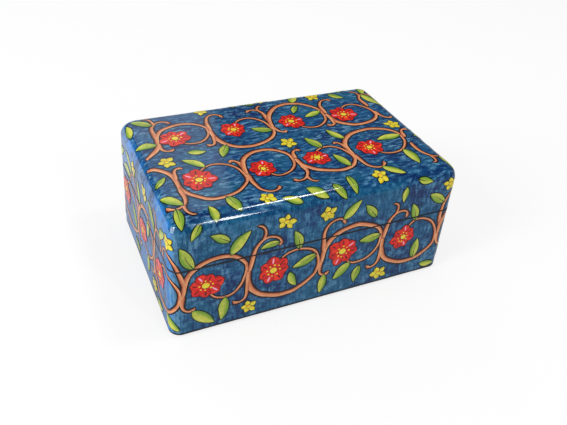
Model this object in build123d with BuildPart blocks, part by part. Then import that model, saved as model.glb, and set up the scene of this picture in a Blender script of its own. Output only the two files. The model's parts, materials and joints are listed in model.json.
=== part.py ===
"""A small wooden jewelry box with a hinged lid.

The carcass is made as one closed box and parted into a base and a lid, so the walls of the two
run flush. Each half has four boards mitred at the corners. The base has a floor let into a rebate,
and the lid has a thick top board whose edges are rounded over. Two brass hinges sit in the back
edges, and a toe on their moving knuckles stops the lid just past upright. The inside is lined.

The origin is at table level under the middle of the box. +Z is up and -Y is the front.
All sizes are in millimetres.
"""

from build123d import *
import os
from math import atan2, cos, degrees, radians, sin

# The outside of the closed box
width = 150.0
depth = 98.0
height = 66.0
parting_height = 40.0
corner_radius = 6.0
top_round = 8.0
bottom_round = 1.2
rim_ease = 0.5

# The boards
wall = 7.0
floor_thickness = 4.0
rebate = 3.0

# The cloth parts
felt_thickness = 0.8
felt_inset = 2.5
liner_thickness = 1.6
liner_drop = 2.0
liner_round = 0.7
pad_gap = 0.4
floor_pad_thickness = 3.6
floor_pad_crown = 0.9
floor_pad_round = 1.3
lid_pad_thickness = 2.6
lid_pad_crown = 0.7
lid_pad_round = 0.9
draw_in = 0.4

# The hinges
hinge_offset = 44.0
leaf_length = 26.0
leaf_thickness = 0.9
leaf_reach = 6.0
leaf_corner = 0.8
pocket_slack = 0.1
knuckle_radius = 1.7
knuckle_count = 5
knuckle_gap = 0.12
barrel_stand_off = 0.6
barrel_clearance = 0.3
leaf_clearance = 0.25
pin_radius = 0.75
pin_slack = 0.03
pin_head_radius = 1.15
pin_head_length = 0.45
open_angle = 100.0
toe_reach = 2.5
toe_width = 36.0
toe_margin = 0.5

# The screws
screw_spacing = 16.0
screw_inset = 3.9
screw_radius = 0.8
screw_head_radius = 1.45
screw_head_angle = 90
screw_length = 8.0
screw_point = 1.6
screw_recess = 0.05

# Worked out from the sizes above
wall_bottom = felt_thickness
floor_top = wall_bottom + floor_thickness
lid_wall_top = height - top_round
inner_width = width - 2 * wall
inner_depth = depth - 2 * wall
axis_y = depth / 2 + barrel_stand_off
knuckle_pitch = leaf_length / knuckle_count
knuckle_length = knuckle_pitch - knuckle_gap
leaf_cut_back = knuckle_radius + leaf_clearance
screw_y = depth / 2 - screw_inset
hinges = {"left": -hinge_offset, "right": hinge_offset}
into_wood = {"base": -1, "lid": 1}

# The corners at the two ends of each wall, as seen in plan
wall_sides = {
    "front": ((-1, -1), (1, -1)),
    "right": ((1, -1), (1, 1)),
    "back": ((1, 1), (-1, 1)),
    "left": ((-1, 1), (-1, -1)),
}

os.makedirs("parts", exist_ok=True)


def rounded_block(bottom, top, outer_round, outer_end, rim_end):
    """The outside shape of one half of the box, rounded at its outer end and eased at its rim."""
    with BuildPart() as block:
        with BuildSketch(Plane.XY.offset(bottom)):
            RectangleRounded(width, depth, corner_radius)
        extrude(amount=top - bottom)
        fillet(block.faces().sort_by(Axis.Z)[outer_end].edges(), outer_round)
        chamfer(block.faces().sort_by(Axis.Z)[rim_end].edges(), rim_ease)
    return block.part


def mitred_outline(side):
    """The plan of one wall, cut at 45 degrees at both ends."""
    start, end = wall_sides[side]
    outer = [(x * width / 2, y * depth / 2) for x, y in (start, end)]
    inner = [(x * inner_width / 2, y * inner_depth / 2) for x, y in (end, start)]
    return outer + inner


def knuckle_centres(hinge_x, half):
    """X of each knuckle of one leaf. The base leaf has the outer ones and the middle one."""
    first = 0 if half == "base" else 1
    start = hinge_x + (knuckle_pitch - leaf_length) / 2
    return [start + knuckle_pitch * i for i in range(first, knuckle_count, 2)]


def screw_places(hinge_x):
    """X of the two screws of a leaf."""
    return hinge_x - screw_spacing / 2, hinge_x + screw_spacing / 2


def round_the_pin(radius, turn):
    """A point in Y and Z round the hinge axis. Turn is 0 at the front and grows as the lid opens."""
    return (
        axis_y - radius * cos(radians(turn)),
        parting_height + radius * sin(radians(turn)),
    )


def hinge_seat(hinge_x, half):
    """What a back wall loses to one hinge: a leaf pocket, room for the barrel, and screw holes."""
    barrel_room = leaf_length + 2 * (pin_head_length + barrel_clearance)
    grooves = [(hinge_x, knuckle_radius + barrel_clearance, barrel_room)]
    if half == "base":
        toe_room = knuckle_pitch + barrel_clearance
        for x in knuckle_centres(hinge_x, "lid"):
            grooves.append((x, toe_reach + barrel_clearance, toe_room))
    with BuildPart() as seat:
        with BuildSketch(Plane.XY.offset(parting_height)):
            with Locations((hinge_x, (depth - leaf_reach - pocket_slack) / 2)):
                Rectangle(leaf_length + 2 * pocket_slack, leaf_reach + pocket_slack)
        extrude(amount=into_wood[half] * leaf_thickness)
        for x, radius, length in grooves:
            with BuildSketch(Plane.YZ.offset(x - length / 2)):
                with Locations((axis_y, parting_height)):
                    Circle(radius)
            extrude(amount=length)
        with BuildSketch(Plane.XY.offset(parting_height)):
            with Locations(*[(x, screw_y) for x in screw_places(hinge_x)]):
                Circle(screw_radius)
        extrude(amount=into_wood[half] * screw_length)
    return seat.part


shapes = {
    "base": rounded_block(wall_bottom, parting_height, bottom_round, outer_end=0, rim_end=-1),
    "lid": rounded_block(parting_height, height, top_round, outer_end=-1, rim_end=0),
}
seats = {half: [hinge_seat(x, half) for x in hinges.values()] for half in shapes}

# The four walls of the base, with the rebate for the floor
for side in wall_sides:
    with BuildPart() as base_wall:
        with BuildSketch(Plane.XY.offset(wall_bottom)):
            with BuildLine():
                Polyline(*mitred_outline(side), close=True)
            make_face()
        extrude(amount=parting_height - wall_bottom)
        add(shapes["base"], mode=Mode.INTERSECT)
        with BuildSketch(Plane.XY.offset(wall_bottom)):
            Rectangle(inner_width + 2 * rebate, inner_depth + 2 * rebate)
        extrude(amount=floor_thickness, mode=Mode.SUBTRACT)
        if side == "back":
            add(seats["base"], mode=Mode.SUBTRACT)
    base_wall.part.label = f"base_{side}_wall"
    export_step(base_wall.part, f"parts/base_{side}_wall.step")

# The four walls of the lid, which stand on the base and carry the top board
for side in wall_sides:
    with BuildPart() as lid_wall:
        with BuildSketch(Plane.XY.offset(parting_height)):
            with BuildLine():
                Polyline(*mitred_outline(side), close=True)
            make_face()
        extrude(amount=lid_wall_top - parting_height)
        add(shapes["lid"], mode=Mode.INTERSECT)
        if side == "back":
            add(seats["lid"], mode=Mode.SUBTRACT)
    lid_wall.part.label = f"lid_{side}_wall"
    export_step(lid_wall.part, f"parts/lid_{side}_wall.step")

# The floor board, glued up into the rebate
with BuildPart() as base_floor_board:
    with BuildSketch(Plane.XY.offset(wall_bottom)):
        Rectangle(inner_width + 2 * rebate, inner_depth + 2 * rebate)
    extrude(amount=floor_thickness)
base_floor_board.part.label = "base_floor_board"
export_step(base_floor_board.part, "parts/base_floor_board.step")

# The thick top board of the lid, with its rounded-over edges and corners
with BuildPart() as lid_top_board:
    with BuildSketch(Plane.XY.offset(lid_wall_top)):
        Rectangle(width, depth)
    extrude(amount=height - lid_wall_top)
    add(shapes["lid"], mode=Mode.INTERSECT)
lid_top_board.part.label = "lid_top_board"
export_step(lid_top_board.part, "parts/lid_top_board.step")

# The sheet of felt that the box stands on
with BuildPart() as underside_felt:
    with BuildSketch():
        RectangleRounded(width - 2 * felt_inset, depth - 2 * felt_inset, corner_radius - felt_inset)
    extrude(amount=felt_thickness)
underside_felt.part.label = "underside_felt"
export_step(underside_felt.part, "parts/underside_felt.step")

# The cloth-covered cards that line the base. The short ones stand between the long ones.
liner_top = parting_height - liner_drop
long_liner = (inner_width, liner_thickness)
short_liner = (liner_thickness, inner_depth - 2 * liner_thickness)
liner_x = (inner_width - liner_thickness) / 2
liner_y = (inner_depth - liner_thickness) / 2
liners = {
    "front": (long_liner, (0, -liner_y), Axis.X),
    "right": (short_liner, (liner_x, 0), Axis.Y),
    "back": (long_liner, (0, liner_y), Axis.X),
    "left": (short_liner, (-liner_x, 0), Axis.Y),
}
for side, (plan, place, along) in liners.items():
    with BuildPart() as base_liner:
        with BuildSketch(Plane.XY.offset(floor_top)):
            with Locations(place):
                Rectangle(*plan)
        extrude(amount=liner_top - floor_top)
        top_edges = base_liner.faces().sort_by(Axis.Z)[-1].edges().filter_by(along)
        fillet(top_edges, liner_round)
    base_liner.part.label = f"base_{side}_liner"
    export_step(base_liner.part, f"parts/base_{side}_liner.step")

# The two cushions, each crowned in the middle and drawn in where it meets its board
floor_pad_plan = (
    inner_width - 2 * (liner_thickness + pad_gap),
    inner_depth - 2 * (liner_thickness + pad_gap),
)
lid_pad_plan = (inner_width - 2 * pad_gap, inner_depth - 2 * pad_gap)
pads = {
    "base_floor_pad": (
        floor_pad_plan, floor_top, 1, floor_pad_thickness, floor_pad_crown, floor_pad_round
    ),
    "lid_pad": (
        lid_pad_plan, lid_wall_top, -1, lid_pad_thickness, lid_pad_crown, lid_pad_round
    ),
}
for name, (plan, board_z, up, thickness, crown, edge_round) in pads.items():
    shoulder_z = board_z + up * (thickness - crown)
    crown_z = board_z + up * thickness
    length, breadth = plan
    with BuildPart() as pad:
        for plane, span, run, mode in (
            (Plane.YZ, breadth, length, Mode.ADD),
            (Plane.XZ, length, breadth, Mode.INTERSECT),
        ):
            with BuildSketch(plane) as section:
                with BuildLine():
                    Polyline(
                        (-span / 2, shoulder_z),
                        (-span / 2, board_z),
                        (span / 2, board_z),
                        (span / 2, shoulder_z),
                    )
                    ThreePointArc((-span / 2, shoulder_z), (0, crown_z), (span / 2, shoulder_z))
                make_face()
                board_corners, shoulders = section.vertices().group_by(Axis.Y)[::up]
                fillet(shoulders, edge_round)
                fillet(board_corners, draw_in)
            extrude(amount=run / 2, both=True, mode=mode)
    pad.part.label = name
    export_step(pad.part, f"parts/{name}.step")

# The hinge leaves. Each is cut back where the other's knuckles run, and the lid's carry the toes.
leaf_tip = depth / 2 - leaf_reach
stop_corner = degrees(atan2(leaf_thickness, leaf_cut_back))
toe_lead = 360 - stop_corner - open_angle - toe_margin
toe_profile = [
    (axis_y, parting_height),
    round_the_pin(toe_reach, toe_lead - toe_width),
    round_the_pin(toe_reach, toe_lead),
]
for place, hinge_x in hinges.items():
    for half, other, slack in (("base", "lid", 0), ("lid", "base", pin_slack)):
        with BuildPart() as leaf:
            with BuildSketch(Plane.XY.offset(parting_height)) as leaf_plan:
                with Locations((hinge_x, (leaf_tip + axis_y) / 2)):
                    Rectangle(leaf_length, axis_y - leaf_tip)
                for x in knuckle_centres(hinge_x, other):
                    with Locations((x, axis_y - leaf_cut_back / 2)):
                        Rectangle(knuckle_pitch + knuckle_gap, leaf_cut_back, mode=Mode.SUBTRACT)
                fillet(leaf_plan.vertices().group_by(Axis.Y)[0], leaf_corner)
            extrude(amount=into_wood[half] * leaf_thickness)
            for x in knuckle_centres(hinge_x, half):
                with BuildSketch(Plane.YZ.offset(x - knuckle_length / 2)):
                    with Locations((axis_y, parting_height)):
                        Circle(knuckle_radius)
                    if half == "lid":
                        with BuildLine():
                            Polyline(*toe_profile, close=True)
                        make_face()
                extrude(amount=knuckle_length)
            with BuildSketch(Plane.YZ.offset(hinge_x - leaf_length / 2)):
                with Locations((axis_y, parting_height)):
                    Circle(pin_radius + slack)
            extrude(amount=leaf_length, mode=Mode.SUBTRACT)
            for x in screw_places(hinge_x):
                face = Plane((x, screw_y, parting_height), z_dir=(0, 0, -into_wood[half]))
                with Locations(face):
                    CounterSinkHole(
                        screw_radius,
                        screw_head_radius,
                        depth=2 * leaf_thickness,
                        counter_sink_angle=screw_head_angle,
                    )
        leaf.part.label = f"hinge_{place}_{half}_leaf"
        export_step(leaf.part, f"parts/hinge_{place}_{half}_leaf.step")

# The hinge pins, headed at both ends outside the barrel
pin_half = leaf_length / 2 + pin_head_length
pin_profile = [
    (0, 0),
    (pin_head_radius, 0),
    (pin_head_radius, pin_head_length),
    (pin_radius, pin_head_length),
    (pin_radius, pin_half),
    (0, pin_half),
]
for place, hinge_x in hinges.items():
    pin_end = Plane(
        (hinge_x - pin_half, axis_y, parting_height), x_dir=(0, 0, 1), z_dir=(0, 1, 0)
    )
    with BuildPart() as pin:
        with BuildSketch(pin_end):
            with BuildLine():
                Polyline(*pin_profile, close=True)
            make_face()
        revolve(axis=Axis(pin_end.origin, pin_end.y_dir))
        mirror(about=Plane.YZ.offset(hinge_x))
    pin.part.label = f"hinge_{place}_pin"
    export_step(pin.part, f"parts/hinge_{place}_pin.step")

# The countersunk screws, two to a leaf
head_depth = screw_head_radius - screw_radius
screw_profile = [
    (0, screw_recess),
    (screw_head_radius - screw_recess, screw_recess),
    (screw_radius, head_depth),
    (screw_radius, screw_length - screw_point),
    (0, screw_length),
]
for place, hinge_x in hinges.items():
    for half, inward in into_wood.items():
        with BuildPart() as screws:
            for x in screw_places(hinge_x):
                head = Plane(
                    (x, screw_y, parting_height), x_dir=(1, 0, 0), z_dir=(0, -inward, 0)
                )
                with BuildSketch(head):
                    with BuildLine():
                        Polyline(*screw_profile, close=True)
                    make_face()
                revolve(axis=Axis(head.origin, head.y_dir))
        screws.part.label = f"hinge_{place}_{half}_screws"
        export_step(screws.part, f"parts/hinge_{place}_{half}_screws.step")
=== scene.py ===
import json
import math
import random

import bmesh
import bpy
import numpy as np
from mathutils import Matrix, Vector, noise


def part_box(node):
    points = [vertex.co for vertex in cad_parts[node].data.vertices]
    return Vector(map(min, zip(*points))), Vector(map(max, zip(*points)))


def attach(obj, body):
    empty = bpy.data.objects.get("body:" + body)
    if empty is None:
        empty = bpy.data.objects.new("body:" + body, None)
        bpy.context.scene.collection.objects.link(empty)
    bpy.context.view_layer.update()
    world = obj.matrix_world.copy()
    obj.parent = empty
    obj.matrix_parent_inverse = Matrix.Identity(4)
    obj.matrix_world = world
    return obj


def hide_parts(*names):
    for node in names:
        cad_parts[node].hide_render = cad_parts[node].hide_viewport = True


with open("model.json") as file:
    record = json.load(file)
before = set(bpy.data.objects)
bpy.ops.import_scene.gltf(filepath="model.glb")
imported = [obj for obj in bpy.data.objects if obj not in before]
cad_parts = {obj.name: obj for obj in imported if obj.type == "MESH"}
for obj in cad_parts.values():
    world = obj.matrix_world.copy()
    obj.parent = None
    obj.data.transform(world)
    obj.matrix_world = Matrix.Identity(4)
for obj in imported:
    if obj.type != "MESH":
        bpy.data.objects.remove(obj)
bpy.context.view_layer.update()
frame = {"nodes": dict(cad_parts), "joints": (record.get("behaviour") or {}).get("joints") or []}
DESIGN_SEED = 11
noise.seed_set(DESIGN_SEED)

# Sizes of the box, in metres, taken from the frame where it has them
MM = 0.001
SIDES = ("front", "right", "back", "left")
HINGES = ("left", "right")
HALF_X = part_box("base_right_wall")[1].x
HALF_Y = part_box("base_back_wall")[1].y
UNDERSIDE, PARTING = (corner.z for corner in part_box("base_front_wall"))
CEILING, TOP = (corner.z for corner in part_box("lid_top_board"))
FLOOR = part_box("base_floor_board")[1].z
WALL = HALF_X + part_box("base_left_wall")[1].x
CORNER = 6.0 * MM
TOP_CORNER = 4.0 * MM
BOTTOM_ROUND = 1.2 * MM
RIM_EASE = 0.5 * MM
INNER_CORNER = 0.3 * MM

# The ground of paint lies this far inside the CAD surface, so that the strokes on it stay in the CAD box
PAINT_ROOM = 0.3 * MM
HAND_WAVE = 0.1 * MM
WAVE_LENGTH = 16 * MM
STILL_RIM = 3 * MM
TOP_ROUND = TOP - PAINT_ROOM - CEILING

# How finely the shells are divided, and how near points are welded
SHELL_STEPS = (20, 56, 36)
ROUND_STEPS = 20
WALL_STEP = 2.5 * MM
WELD = 0.001 * MM

# From what turn of the surface on an edge is shaded sharp, in degrees
CASING_SHARP = 32
FILM_SHARP = 40
SCREW_SHARP = 35


class Wire:
    """One output of a node, which can be used in a formula as if it were a number."""

    def __init__(self, graph, node, output=0):
        self.graph = graph
        self.node = node
        self.socket = node.outputs[output]

    def __getitem__(self, output):
        return Wire(self.graph, self.node, output)

    def __add__(self, other):
        return self.graph.maths("ADD", self, other)

    def __radd__(self, other):
        return self.graph.maths("ADD", other, self)

    def __sub__(self, other):
        return self.graph.maths("SUBTRACT", self, other)

    def __rsub__(self, other):
        return self.graph.maths("SUBTRACT", other, self)

    def __mul__(self, other):
        return self.graph.maths("MULTIPLY", self, other)

    def __rmul__(self, other):
        return self.graph.maths("MULTIPLY", other, self)

    def __abs__(self):
        return self.graph.maths("ABSOLUTE", self)


class Graph:
    """Adds nodes to a shader or geometry tree."""

    def __init__(self, tree):
        self.tree = tree

    def add(self, kind, inputs=None, **settings):
        """Adds one node. Its settings come first, then the values or links of its sockets."""
        node = self.tree.nodes.new(kind)
        for name, value in settings.items():
            setattr(node, name, value)
        for name, value in (inputs or {}).items():
            if isinstance(value, Wire):
                self.tree.links.new(value.socket, node.inputs[name])
            else:
                node.inputs[name].default_value = value
        return Wire(self, node) if node.outputs else node

    def maths(self, operation, *values):
        return self.add("ShaderNodeMath", dict(enumerate(values)), operation=operation)

    def vector(self, operation, *values):
        return self.add("ShaderNodeVectorMath", dict(enumerate(values)), operation=operation)

    def scaled(self, vector, amount):
        inputs = {0: vector, "Scale": amount}
        return self.add("ShaderNodeVectorMath", inputs, operation="SCALE")

    def mix(self, share, first, second):
        """Blends two colours."""
        inputs = {0: share, 6: first, 7: second}
        return self.add("ShaderNodeMix", inputs, data_type="RGBA")[2]

    def between(self, value, low, high):
        """0 below low, 1 above high and smooth in between. High may be the smaller one."""
        inputs = {0: value, 1: low, 2: high}
        return self.add("ShaderNodeMapRange", inputs, interpolation_type="SMOOTHSTEP")

    def noise(self, where, scale, detail=3.0, roughness=0.55):
        """Soft noise from 0 to 1. The scale is in bumps to the metre, for each axis or for all."""
        if isinstance(scale, tuple):
            where = self.vector("MULTIPLY", where, scale)
            scale = 1.0
        inputs = {"Vector": where, "Scale": scale, "Detail": detail, "Roughness": roughness}
        return self.add("ShaderNodeTexNoise", inputs)

    def split(self, vector):
        return self.add("ShaderNodeSeparateXYZ", {0: vector})

    def attribute(self, name):
        return self.add("ShaderNodeAttribute", attribute_name=name)["Fac"]


def colour(red, green, blue):
    """A paint colour from its screen values, 0 to 255."""
    shares = [value / 255 for value in (red, green, blue)]
    linear = [c / 12.92 if c <= 0.04045 else ((c + 0.055) / 1.055) ** 2.4 for c in shares]
    return (*linear, 1.0)


def new_object(name, data):
    thing = bpy.data.objects.new(name, data)
    bpy.context.scene.collection.objects.link(thing)
    return thing


# The camera stands where the photograph was taken from
IMAGE_WIDTH = 567
FOCAL_PIXELS = 645.17
SENSOR = 36.0
AZIMUTH = math.radians(-26.768)
ELEVATION = math.radians(31.464)
ROLL = math.radians(4.897)
DISTANCE = 342.26 * MM
AIM_RIGHT = -0.66 * MM
AIM_UP = -18.16 * MM
FRAME_DROP = -64 / IMAGE_WIDTH


def place_camera():
    back = Vector((
        math.sin(AZIMUTH) * math.cos(ELEVATION),
        -math.cos(AZIMUTH) * math.cos(ELEVATION),
        math.sin(ELEVATION),
    ))
    level_right = (-back).cross(Vector((0, 0, 1))).normalized()
    level_up = level_right.cross(-back)
    right = math.cos(ROLL) * level_right + math.sin(ROLL) * level_up
    up = math.cos(ROLL) * level_up - math.sin(ROLL) * level_right
    data = bpy.data.cameras.new("camera")
    data.sensor_width = SENSOR
    data.lens = FOCAL_PIXELS * SENSOR / IMAGE_WIDTH
    data.shift_y = FRAME_DROP
    data.clip_start = 10 * MM
    data.clip_end = 20.0
    camera = new_object("camera", data)
    stand = Matrix((right, up, back)).transposed().to_4x4()
    stand.translation = Vector((0, 0, PARTING)) + DISTANCE * back - AIM_RIGHT * right - AIM_UP * up
    camera.matrix_world = stand
    bpy.context.scene.camera = camera


def piece(name, mesh, body, slot, *nodes):
    """A finished piece: the body it rides on and the CAD nodes it stands for. The slot argument is not
    used.
    """
    thing = new_object(name, mesh)
    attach(thing, body)
    if nodes:
        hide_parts(*nodes)
    return thing


def mesh_of(form, name):
    """The mesh of a finished form."""
    mesh = bpy.data.meshes.new(name)
    form.to_mesh(mesh)
    form.free()
    return mesh


def smooth(mesh, sharp_from=None):
    """Shades a mesh smooth, apart from edges that turn by more than an angle."""
    for face in mesh.polygons:
        face.use_smooth = True
    if sharp_from:
        mesh.set_sharp_from_angle(angle=math.radians(sharp_from))
    return mesh


def evaluated_mesh(thing):
    """The mesh that an object's modifiers make, as plain mesh data. The object goes."""
    graph = bpy.context.evaluated_depsgraph_get()
    mesh = bpy.data.meshes.new_from_object(thing.evaluated_get(graph), depsgraph=graph)
    discard(thing)
    return mesh


def discard(thing):
    mesh = thing.data
    bpy.data.objects.remove(thing)
    bpy.data.meshes.remove(mesh)


def made_by(mesh, kind, **settings):
    """What one modifier makes of a mesh."""
    thing = new_object(mesh.name, mesh)
    modifier = thing.modifiers.new(kind, kind)
    for name, value in settings.items():
        setattr(modifier, name, value)
    return evaluated_mesh(thing)


# The shells

QUARTERS = ((1, -1), (1, 1), (-1, 1), (-1, -1))


def wave_at(point):
    """How far the hand-sanded surface lies below its true one. It keeps still beside the parting line."""
    still = min(1.0, abs(point.z - PARTING) / STILL_RIM)
    return HAND_WAVE * still * (0.5 + 0.5 * noise.noise(point / WAVE_LENGTH))


def towards(turn):
    """The level direction at an angle from x."""
    return Vector((math.cos(turn), math.sin(turn)))


def plan(half_x, half_y, corner, steps):
    """Points round a rounded rectangle, anticlockwise from above, each with its outward direction.
    Steps are the parts of a corner, of a long side and of a short side."""
    reach = (half_x - corner, half_y - corner)
    for quarter, (side_x, side_y) in enumerate(QUARTERS):
        next_x, next_y = QUARTERS[(quarter + 1) % 4]
        centre = Vector((side_x * reach[0], side_y * reach[1], 0))
        onward = Vector((next_x * reach[0], next_y * reach[1], 0)) - centre
        side = steps[2] if side_x == next_x else steps[1]
        for step in range(steps[0] + side):
            turn = (quarter - 1 + min(1.0, step / steps[0])) * math.pi / 2
            outward = towards(turn).to_3d()
            along = max(0, step - steps[0]) / side
            yield centre + corner * outward + along * onward, outward


def ring(inset, z, corner, lean=None):
    """The points of one level of a shell. Lean is the share of its normal that points outwards and
    the share that points up, where the surface is waved."""
    points = []
    for point, outward in plan(HALF_X - inset, HALF_Y - inset, corner, SHELL_STEPS):
        point.z = z
        if lean:
            point -= wave_at(point) * (lean[0] * outward + Vector((0, 0, lean[1])))
        points.append(point)
    return points


def evenly(start, end, step):
    """Numbers from start to end, both included, about a step apart."""
    count = max(1, round(abs(end - start) / step))
    return [start + (end - start) * i / count for i in range(count + 1)]


def flat_levels(z, inset, corner, lean=None):
    """Levels of a flat face, from its middle to its edge."""
    return [
        ring(at, z, corner * (HALF_Y - at) / (HALF_Y - inset), lean)
        for at in evenly(HALF_Y, inset, WALL_STEP)
    ]


def round_levels(z, way, radius, corner):
    """Levels of a rounded edge, from the flat face at z to the upright wall."""
    levels = []
    for step in range(1, ROUND_STEPS + 1):
        turn = step / ROUND_STEPS * math.pi / 2
        inset = PAINT_ROOM + radius * (1 - math.sin(turn))
        side_corner = CORNER - PAINT_ROOM
        here = corner + (side_corner - corner) * math.sin(turn) ** 1.5
        level = z - way * radius * (1 - math.cos(turn))
        levels.append(ring(inset, level, here, (math.sin(turn), way * math.cos(turn))))
    return levels


def wall_levels(start, end):
    return [ring(PAINT_ROOM, z, CORNER - PAINT_ROOM, (1, 0)) for z in evenly(start, end, WALL_STEP)]


def inside_levels(depth_z):
    """Levels from the rim, down the inside of the walls and to the middle of the board there."""
    rim = [
        ring(PAINT_ROOM + RIM_EASE, PARTING, CORNER - RIM_EASE),
        ring(WALL - 2 * RIM_EASE, PARTING, INNER_CORNER + RIM_EASE),
        ring(WALL, PARTING + math.copysign(RIM_EASE, depth_z - PARTING) / 2, INNER_CORNER),
    ]
    coarse = 4 * WALL_STEP
    walls = [ring(WALL, z, INNER_CORNER) for z in evenly(PARTING, depth_z, coarse)[1:]]
    board = [ring(at, depth_z, 0) for at in evenly(WALL, HALF_Y, coarse)[1:]]
    return rim + walls + board


def lofted(name, levels):
    """A mesh through the levels, its ends drawn together on the middle line."""
    form = bmesh.new()
    rows = [[form.verts.new(point) for point in level] for level in levels]
    for lower, upper in zip(rows, rows[1:]):
        for i in range(len(lower)):
            j = (i + 1) % len(lower)
            form.faces.new((lower[i], lower[j], upper[j], upper[i]))
    bmesh.ops.remove_doubles(form, verts=form.verts, dist=WELD)
    bmesh.ops.dissolve_degenerate(form, edges=form.edges, dist=WELD)
    bmesh.ops.recalc_face_normals(form, faces=form.faces)
    return smooth(mesh_of(form, name))


paint_top = TOP - PAINT_ROOM
lid_outside = (
    flat_levels(paint_top, PAINT_ROOM + TOP_ROUND, TOP_CORNER, (0, 1))
    + round_levels(paint_top, 1, TOP_ROUND, TOP_CORNER)
    + wall_levels(paint_top - TOP_ROUND, PARTING + RIM_EASE)[1:]
)
base_outside = (
    flat_levels(UNDERSIDE, PAINT_ROOM + BOTTOM_ROUND, CORNER - BOTTOM_ROUND)
    + round_levels(UNDERSIDE, -1, BOTTOM_ROUND, CORNER - BOTTOM_ROUND)
    + wall_levels(UNDERSIDE + BOTTOM_ROUND, PARTING - RIM_EASE)[1:]
)

# What the hinges need cut out of the back edges
LEAF_THICKNESS = 0.9 * MM
POCKET_SLACK = 0.1 * MM
BARREL_ROOM = 0.3 * MM
BARREL_RADIUS = 1.7 * MM
TOE_REACH = 2.5 * MM
KNUCKLES = 5
PIN_HEAD = 0.45 * MM
ROD_STEPS = 48
axis_point = Vector(frame["joints"][0]["pos_m"])


def block(form, low, high):
    middle = (low + high) / 2
    size = Matrix.Diagonal((*(high - low), 1))
    bmesh.ops.create_cube(form, size=1, matrix=Matrix.Translation(middle) @ size)


def rod(form, x, length, radius):
    """A rod along the hinge axis."""
    turn = Matrix.Rotation(math.pi / 2, 4, "Y")
    place = Matrix.Translation((x, axis_point.y, axis_point.z)) @ turn
    bmesh.ops.create_cone(
        form, cap_ends=True, segments=ROD_STEPS, radius1=radius, radius2=radius, depth=length, matrix=place
    )


def hinge_cutter(half):
    """The leaf pockets and barrel grooves of both hinges, as one mesh."""
    form = bmesh.new()
    for side in HINGES:
        low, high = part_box(f"hinge_{side}_{half}_leaf")
        slack = Vector((POCKET_SLACK, POCKET_SLACK, 0))
        below, above = (1, 0.5) if half == "base" else (0.5, 1)
        seat_low = Vector((low.x, low.y, PARTING - below * LEAF_THICKNESS)) - slack
        seat_high = Vector((high.x, axis_point.y, PARTING + above * LEAF_THICKNESS)) + slack
        block(form, seat_low, seat_high)
        middle = (low.x + high.x) / 2
        length = high.x - low.x
        rod(form, middle, length + 2 * (PIN_HEAD + BARREL_ROOM), BARREL_RADIUS + BARREL_ROOM)
        if half == "base":
            pitch = length / KNUCKLES
            for way in (-1, 1):
                rod(form, middle + way * pitch, pitch + BARREL_ROOM, TOE_REACH + BARREL_ROOM)
    return new_object("hinge_cutter", mesh_of(form, "hinge_cutter"))


# What lies deeper than this, between the boards, is painted as the inside
OUTER_DEPTH = PAINT_ROOM + 1.6 * RIM_EASE
BOARD_MARGIN = 0.1 * MM


def depth_in(point):
    """How far inside the upright outside of the box a point lies."""
    past_x = abs(point.x) - (HALF_X - CORNER)
    past_y = abs(point.y) - (HALF_Y - CORNER)
    if min(past_x, past_y) > 0:
        return CORNER - math.hypot(past_x, past_y)
    return CORNER - max(past_x, past_y)


def casing(half, board, levels):
    """One half of the box as a closed shell, with the hinge seats cut out of it."""
    name = f"{half}_casing"
    cutter = hinge_cutter(half)
    settings = {"operation": "DIFFERENCE", "solver": "EXACT", "use_self": True, "object": cutter}
    mesh = made_by(lofted(name, levels), "BOOLEAN", **settings)
    discard(cutter)
    mesh.name = name
    mesh.materials.clear()
    for material in (ground_paint, inside_paint):
        mesh.materials.append(material)
    for face in mesh.polygons:
        between_boards = FLOOR - BOARD_MARGIN < face.center.z < CEILING + BOARD_MARGIN
        inside = between_boards and depth_in(face.center) > OUTER_DEPTH
        face.material_index = 1 if inside else 0
    smooth(mesh, CASING_SHARP)
    piece(name, mesh, half, "painted_wood", board, *[f"{half}_{side}_wall" for side in SIDES])


# Paints and other finishes

NAVY = colour(2, 34, 84)
DEEP_BLUE = colour(4, 63, 112)
SLATE_BLUE = colour(8, 78, 110)
COBALT = colour(36, 124, 210)
STEEL_BLUE = colour(40, 100, 140)
PALE_BLUE = colour(116, 160, 186)
VIOLET = colour(36, 44, 104)
# Near black, for the painted shade at the parting line and the foot
PAINTED_SHADE_COLOUR = colour(16, 18, 28)
SALMON = colour(204, 130, 88)
PALE_SALMON = colour(242, 186, 140)
RUST = colour(146, 64, 36)
BROWN_LINE = colour(26, 14, 20)
LIME = colour(184, 188, 74)
PALE_LIME = colour(206, 208, 96)
LEAF_GREEN = colour(102, 142, 46)
GREEN_LINE = colour(18, 34, 30)
RED = colour(210, 30, 22)
ORANGE_RED = colour(240, 78, 44)
CRIMSON = colour(150, 14, 22)
RED_LINE = colour(66, 8, 20)
YELLOW = colour(216, 200, 46)
GOLD = colour(176, 150, 30)
PINK = colour(230, 160, 186)
BRASS = colour(214, 178, 104)
DULL_BRASS = colour(150, 116, 64)
VELVET = colour(26, 40, 104)
VELVET_SHEEN = colour(96, 120, 200)
FELT = colour(30, 34, 62)


def emptied(owner):
    """The graph of a material or the world, with nothing in it."""
    owner.use_nodes = True
    owner.node_tree.nodes.clear()
    return Graph(owner.node_tree)


def surfacer(name, build, **fixed):
    """A material. Build gets the graph and returns what varies over the surface, by socket name."""
    material = bpy.data.materials.new(name)
    graph = emptied(material)
    inputs = {key.replace("_", " "): value for key, value in fixed.items()}
    inputs.update(build(graph))
    shader = graph.add("ShaderNodeBsdfPrincipled", inputs)
    graph.add("ShaderNodeOutputMaterial", {"Surface": shader})
    return material


def finish(paint, roughness, normal):
    """What varies over a finished surface."""
    return {"Base Color": paint, "Roughness": roughness, "Normal": normal}


def position(graph):
    return graph.add("ShaderNodeTexCoord")["Object"]


def bumped(graph, height, distance):
    return graph.add("ShaderNodeBump", {"Height": height, "Distance": distance})["Normal"]


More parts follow.
